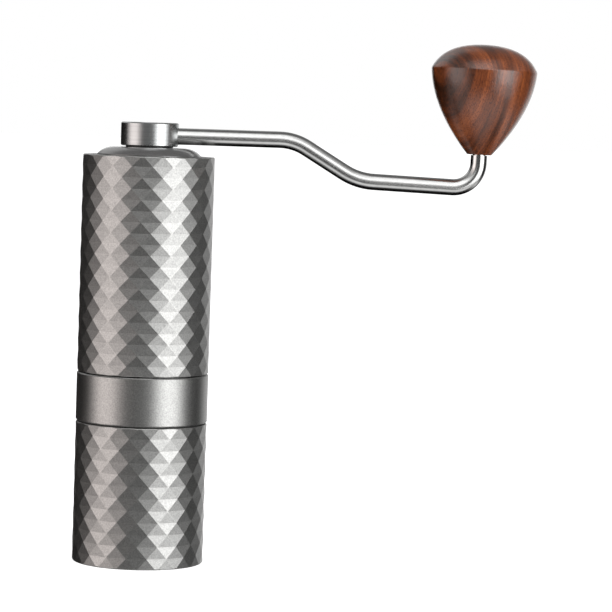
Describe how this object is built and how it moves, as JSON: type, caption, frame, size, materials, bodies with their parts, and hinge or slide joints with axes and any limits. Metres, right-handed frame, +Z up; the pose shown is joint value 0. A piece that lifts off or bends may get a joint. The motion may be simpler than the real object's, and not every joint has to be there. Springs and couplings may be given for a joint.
{
  "type": "hand crank coffee grinder",
  "caption": "Slim hand coffee grinder with a faceted metal barrel, smooth waist collar, screw-off cup, low lid, bent steel crank arm and turned wooden knob.",
  "frame": {"origin": "centre of the cup's flat underside, on the shaft's axis", "axes": "+Z up along the shaft's axis, +X along the crank towards the knob at rest, -Y towards the viewer of the picture"},
  "size_m": [0.1713, 0.05, 0.2006],
  "materials": {
    "gunmetal": "bead-blasted and anodised gunmetal",
    "plain_aluminium": "machined",
    "polished_steel": "polished stainless",
    "tool_steel": "ground",
    "dark_plastic": "moulded, fine satin",
    "black_acetal": "turned",
    "silicone": "matte",
    "brass": "turned",
    "walnut": "turned walnut, satin lacquer"
  },
  "bodies": {
    "grinder_body": {"body_tube": "gunmetal", "waist_collar": "gunmetal", "burr_housing": "plain_aluminium", "bearing_bridge": "plain_aluminium", "burr_screws": "tool_steel", "ring_burr": "tool_steel", "top_frame": "dark_plastic", "upper_bearing_outer_race": "tool_steel", "lower_bearing_outer_race": "tool_steel"},
    "upper_ball_set": {"upper_bearing_balls": "tool_steel"},
    "lower_ball_set": {"lower_bearing_balls": "tool_steel"},
    "shaft": {"drive_shaft": "tool_steel", "shaft_circlip": "tool_steel", "dial_clip": "tool_steel", "thrust_washer": "tool_steel", "burr_spring": "tool_steel", "upper_bearing_inner_race": "tool_steel", "lower_bearing_inner_race": "tool_steel"},
    "moving_burr": {"cone_burr": "tool_steel", "click_plate": "tool_steel"},
    "dial": {"adjusting_dial": "plain_aluminium"},
    "gasket": {"cup_gasket": "silicone"},
    "cup": {"grounds_cup": "gunmetal"},
    "lid_group": {"lid": "dark_plastic", "lid_seal": "silicone", "lid_bush": "black_acetal"},
    "crank": {"crank_hub": "polished_steel", "hub_circlip": "tool_steel", "crank_arm": "polished_steel", "arm_pin": "tool_steel", "knob_clip": "tool_steel"},
    "grip": {"knob": "walnut", "knob_bush": "brass"}
  },
  "joints": [
    {"name": "lid_lift", "type": "slide", "parent": "grinder_body", "child": "lid_group", "axis": [0, 0, 1], "range_m": [0, 0.03]},
    {"name": "crank_spin", "type": "hinge", "parent": "lid_group", "child": "crank", "pos_m": [0, 0, 0.158], "axis": [0, 0, 1], "continuous": true},
    {"name": "knob_spin", "type": "hinge", "parent": "crank", "child": "grip", "pos_m": [0.125, 0, 0.1457], "axis": [0.0262, 0, 0.9997], "continuous": true},
    {"name": "shaft_spin", "type": "hinge", "parent": "grinder_body", "child": "shaft", "pos_m": [0, 0, 0.1372], "axis": [0, 0, 1], "continuous": true},
    {"name": "upper_balls_orbit", "type": "hinge", "parent": "grinder_body", "child": "upper_ball_set", "pos_m": [0, 0, 0.1397], "axis": [0, 0, 1], "continuous": true},
    {"name": "lower_balls_orbit", "type": "hinge", "parent": "grinder_body", "child": "lower_ball_set", "pos_m": [0, 0, 0.0874], "axis": [0, 0, 1], "continuous": true},
    {"name": "burr_lift", "type": "slide", "parent": "shaft", "child": "moving_burr", "axis": [0, 0, 1], "range_m": [-0.0005, 0.001], "deforming": ["burr_spring"]},
    {"name": "dial_turn", "type": "hinge", "parent": "moving_burr", "child": "dial", "pos_m": [0, 0, 0.0587], "axis": [0, 0, 1], "range_deg": [-360, 720]},
    {"name": "cup_drop", "type": "slide", "parent": "grinder_body", "child": "gasket", "axis": [0, 0, -1], "range_m": [0, 0.0075]},
    {"name": "cup_unscrew", "type": "hinge", "parent": "gasket", "child": "cup", "pos_m": [0, 0, 0.0532], "axis": [0, 0, -1], "range_deg": [0, 1080]}
  ],
  "couplings": [
    {"joint": "shaft_spin", "follows": "crank_spin", "ratio": 1},
    {"joint": "upper_balls_orbit", "follows": "crank_spin", "ratio": 0.41667},
    {"joint": "lower_balls_orbit", "follows": "crank_spin", "ratio": 0.41667},
    {"joint": "dial_turn", "follows": "burr_lift", "rad_per_m": 12566},
    {"joint": "cup_drop", "follows": "cup_unscrew", "m_per_rad": 0.00039789}
  ]
}
